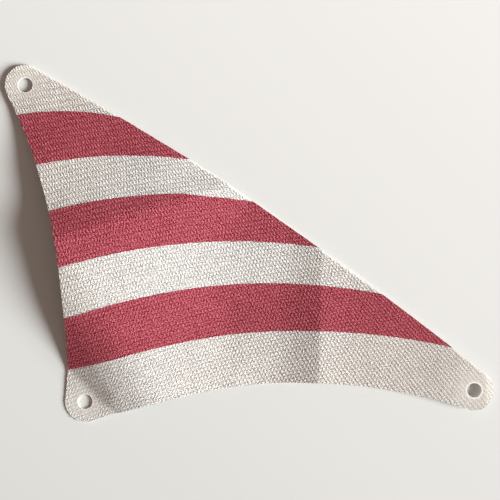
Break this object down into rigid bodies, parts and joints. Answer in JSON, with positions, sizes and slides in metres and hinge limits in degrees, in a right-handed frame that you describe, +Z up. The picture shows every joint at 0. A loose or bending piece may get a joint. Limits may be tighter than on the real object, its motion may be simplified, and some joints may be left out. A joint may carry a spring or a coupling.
{
  "type": "triangular sail",
  "caption": "Triangular toy ship's sail of stiff woven cloth with curved printed bands, eyelet holes in its rounded corners and creases that fold.",
  "frame": {"origin": "middle of the lying sail's footprint, on the table", "axes": "+X along the foot from the tack corner to the clew corner, +Y towards the head corner, +Z up out of the printed face"},
  "size_m": [0.1762, 0.1322, 0.0104],
  "materials": {
    "sail_cloth": "stiffened weave, matt",
    "red_print": "ink soaked into the weave, matt"
  },
  "bodies": {
    "main_panel": {"main_cloth": "sail_cloth", "middle_band_main": "red_print", "lower_band_main": "red_print"},
    "head_panel": {"head_cloth": "sail_cloth", "upper_band": "red_print", "middle_band_head": "red_print"},
    "clew_panel": {"clew_cloth": "sail_cloth", "lower_band_clew": "red_print"}
  },
  "joints": [
    {"name": "upper_crease", "type": "hinge", "parent": "main_panel", "child": "head_panel", "pos_m": [-0.07094, 0.00122, 0.01021], "axis": [0.9514, 0.2775, -0.1338], "range_deg": [-120, 155]},
    {"name": "clew_crease", "type": "hinge", "parent": "main_panel", "child": "clew_panel", "pos_m": [0.02224, -0.06263, 0.00178], "axis": [-0.0655, -0.9978, 0.0074], "range_deg": [-130, 145]}
  ]
}
